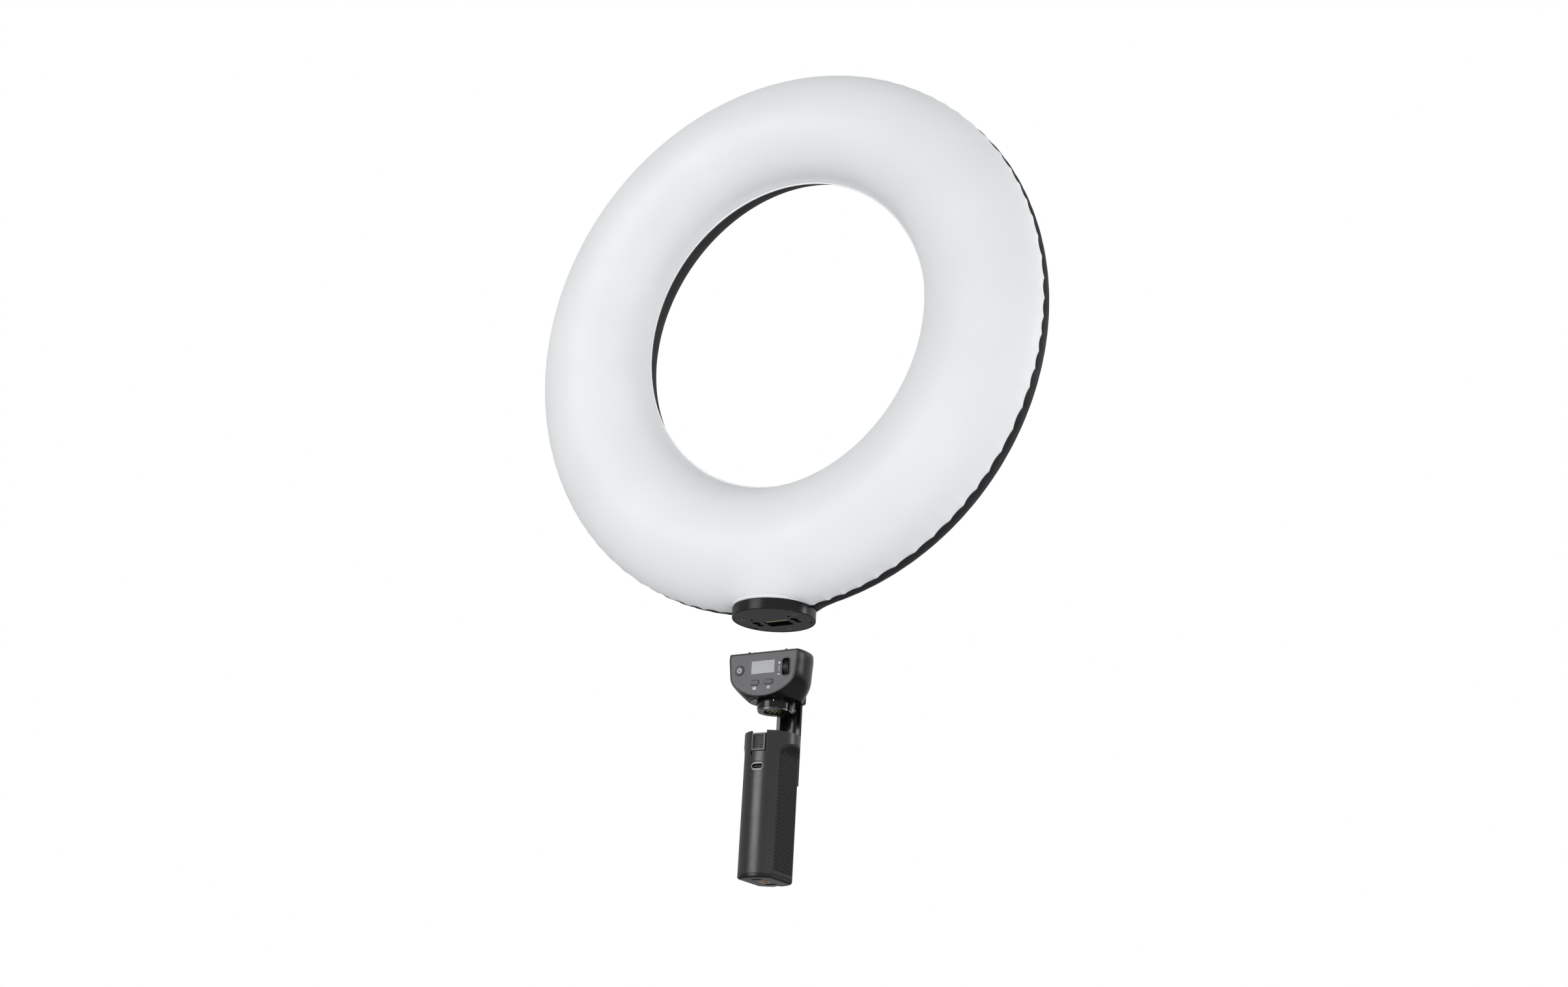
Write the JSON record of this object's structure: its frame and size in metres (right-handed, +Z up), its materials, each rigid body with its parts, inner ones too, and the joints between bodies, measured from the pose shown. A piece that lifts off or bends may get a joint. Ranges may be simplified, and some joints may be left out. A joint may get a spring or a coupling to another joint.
{
  "type": "inflatable ring light",
  "caption": "Inflatable ring light: soft white and black ring on a base disc, control head with screen, keys and wheel on a rail, and battery grip with a tripod thread, drawn apart.",
  "frame": {"origin": "mouth of the tripod thread in the underside of the grip", "axes": "+Z up along the grip, -Y towards the screen and the white side of the ring, +X to the right"},
  "size_m": [0.45, 0.1106, 0.6529],
  "materials": {
    "cloth_white": "smooth translucent coated cloth",
    "cloth_black": "smooth coated cloth",
    "seam": "welded edge",
    "strip": "flexible circuit",
    "led": "clear resin over phosphor",
    "valve": "soft plastic",
    "black_plastic": "satin moulded",
    "black_gloss": "polished",
    "fascia_grey": "satin moulded",
    "key_grey": "satin moulded",
    "release_grey": "satin moulded",
    "latch_grey": "satin moulded",
    "dark_steel": "blackened",
    "screen": "display window",
    "board": "circuit board",
    "steel": "plain",
    "black_metal": "satin black",
    "plug_metal": "grey anodised",
    "gold": "gold plated",
    "brass": "turned",
    "rubber": "ribbed",
    "cell_wrap": "shrink sleeve"
  },
  "bodies": {
    "grip": {"grip_shell": "black_plastic", "left_pad": "rubber", "right_pad": "rubber", "bottom_plate": "black_plastic", "bottom_screws": "steel", "tripod_insert": "brass", "grip_top_deck": "black_plastic", "socket_post": "black_plastic", "socket_contacts": "gold", "latch_spring": "steel", "rail_guide": "black_metal", "guide_screws": "steel", "battery_cells": "cell_wrap", "charge_board": "board", "usb_shell": "steel", "usb_tongue": "black_plastic"},
    "grip_latch": {"slide_latch": "latch_grey"},
    "head": {"head_shell": "black_plastic", "fascia": "fascia_grey", "screen_window": "screen", "lcd_module": "screen", "control_board": "board", "wheel_bezel": "black_plastic", "wheel_axle": "steel", "wheel_fork": "black_plastic", "head_top_plate": "black_plastic", "mount_studs": "steel", "lock_hooks": "black_metal", "contact_tower": "black_plastic", "tower_pins": "gold", "bayonet_plug": "plug_metal", "plug_insulator": "black_plastic", "plug_pins": "gold", "hook_pin": "steel", "rail": "black_metal", "rail_block": "black_plastic", "rail_bracket": "black_metal", "bracket_screws": "steel"},
    "power_key": {"power_button": "black_gloss"},
    "menu_key": {"left_key": "key_grey"},
    "mode_key": {"right_key": "key_grey"},
    "wheel": {"thumb_wheel": "rubber"},
    "collar": {"locking_collar": "black_metal"},
    "release": {"release_button": "release_grey"},
    "hook": {"latch_hook": "dark_steel"},
    "ring": {"front_diffuser": "cloth_white", "back_skin": "cloth_black", "inner_seam": "seam", "led_strip": "strip", "led_chips": "led", "air_valve": "valve", "front_cuff": "cloth_white", "back_cuff": "cloth_black", "base_shell": "black_gloss", "base_plate": "black_plastic", "base_screws": "dark_steel", "contact_block": "black_plastic", "base_contacts": "gold"},
    "ring_lock": {"lock_plate": "steel"},
    "cap": {"valve_cap": "valve"}
  },
  "joints": [
    {"name": "head_slide", "type": "slide", "parent": "grip", "child": "head", "axis": [0, 0, 1], "range_m": [-0.0263, 0]},
    {"name": "ring_lift", "type": "slide", "parent": "head", "child": "ring", "axis": [0, 0, 1], "range_m": [-0.0276, 0]},
    {"name": "ring_lock_slide", "type": "slide", "parent": "ring", "child": "ring_lock", "axis": [0, 1, 0], "range_m": [0, 0.0018]},
    {"name": "cap_pull", "type": "slide", "parent": "ring", "child": "cap", "axis": [0, 0.999, 0.0436], "range_m": [0, 0.008]},
    {"name": "power_press", "type": "slide", "parent": "head", "child": "power_key", "axis": [0, 1, 0], "range_m": [0, 0.0005], "stiffness_N_per_m": 600, "springref_m": -0.0002},
    {"name": "menu_press", "type": "slide", "parent": "head", "child": "menu_key", "axis": [0, 1, 0], "range_m": [0, 0.0005], "stiffness_N_per_m": 600, "springref_m": -0.0002},
    {"name": "mode_press", "type": "slide", "parent": "head", "child": "mode_key", "axis": [0, 1, 0], "range_m": [0, 0.0005], "stiffness_N_per_m": 600, "springref_m": -0.0002},
    {"name": "wheel_turn", "type": "hinge", "parent": "head", "child": "wheel", "pos_m": [0.0201, -0.0144, 0.1568], "axis": [1, 0, 0], "continuous": true},
    {"name": "collar_turn", "type": "hinge", "parent": "head", "child": "collar", "pos_m": [0, 0, 0.1326], "axis": [0, 0, 1], "range_deg": [0, 45]},
    {"name": "release_press", "type": "slide", "parent": "head", "child": "release", "axis": [0, 0, 1], "range_m": [0, 0.0008], "stiffness_N_per_m": 500, "springref_m": -0.0002},
    {"name": "hook_swing", "type": "hinge", "parent": "head", "child": "hook", "pos_m": [0.015, 0.002, 0.1389], "axis": [0, 1, 0], "range_deg": [-3, 0], "stiffness_Nm_per_rad": 0.05, "springref_deg": 1.15},
    {"name": "latch_press", "type": "slide", "parent": "grip", "child": "grip_latch", "axis": [0, 0, 1], "range_m": [0, 0.0018], "stiffness_N_per_m": 300, "springref_m": -0.001, "deforming": ["latch_spring"]}
  ]
}
